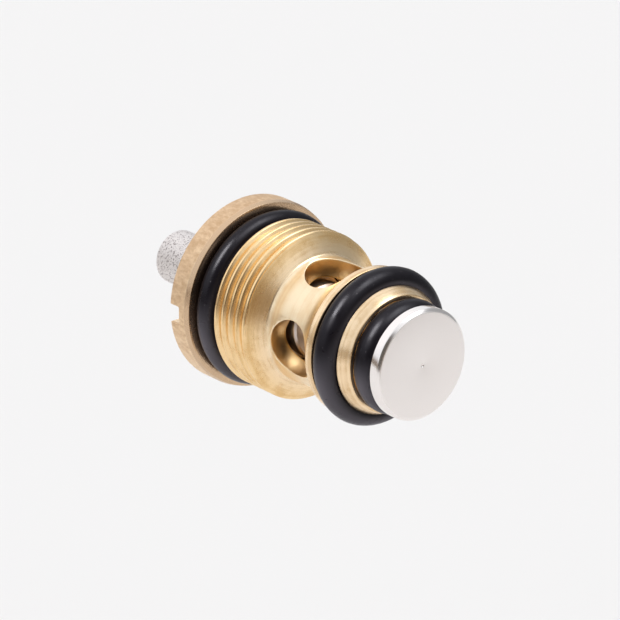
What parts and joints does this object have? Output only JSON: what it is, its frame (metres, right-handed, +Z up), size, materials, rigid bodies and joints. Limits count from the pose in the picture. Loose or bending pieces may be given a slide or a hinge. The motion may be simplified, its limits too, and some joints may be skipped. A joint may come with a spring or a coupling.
{
  "type": "diverter valve cartridge",
  "caption": "Screw-in brass diverter valve cartridge with a slotted flange, radial ports, O-ring seals and a spring-loaded push-pin poppet.",
  "frame": {"origin": "centre of the flange's seating face, on the valve's axis", "axes": "+X along the valve's axis from the flange towards the poppet head, so the push pin points to -X; +Z up, with the radial ports 6.2 degrees round from Y and Z; +Y completes the right-handed frame"},
  "size_m": [0.0355, 0.018, 0.018],
  "materials": {
    "body_brass": "bright turned",
    "bush_brass": "turned",
    "head_nickel": "polished nickel plate with a satin face",
    "stem_steel": "matte, with a fine dark speckle on the pin",
    "retainer_steel": "turned",
    "spring_steel": "bright drawn",
    "seal_rubber": "satin black"
  },
  "bodies": {
    "valve": {"valve_body": "body_brass", "flange_o_ring": "seal_rubber", "nose_o_ring": "seal_rubber", "stem_seal_o_ring": "seal_rubber", "seal_retainer": "retainer_steel", "guide_bush": "bush_brass", "return_spring": "spring_steel"},
    "poppet": {"poppet_head": "head_nickel", "poppet_o_ring": "seal_rubber", "poppet_stem": "stem_steel", "spring_seat_washer": "retainer_steel", "stem_retaining_clip": "spring_steel"}
  },
  "joints": [
    {"name": "poppet_slide", "type": "slide", "parent": "valve", "child": "poppet", "axis": [1, 0, 0], "range_m": [0, 0.002], "stiffness_N_per_m": 1500, "springref_m": -0.001, "deforming": ["return_spring"]}
  ]
}
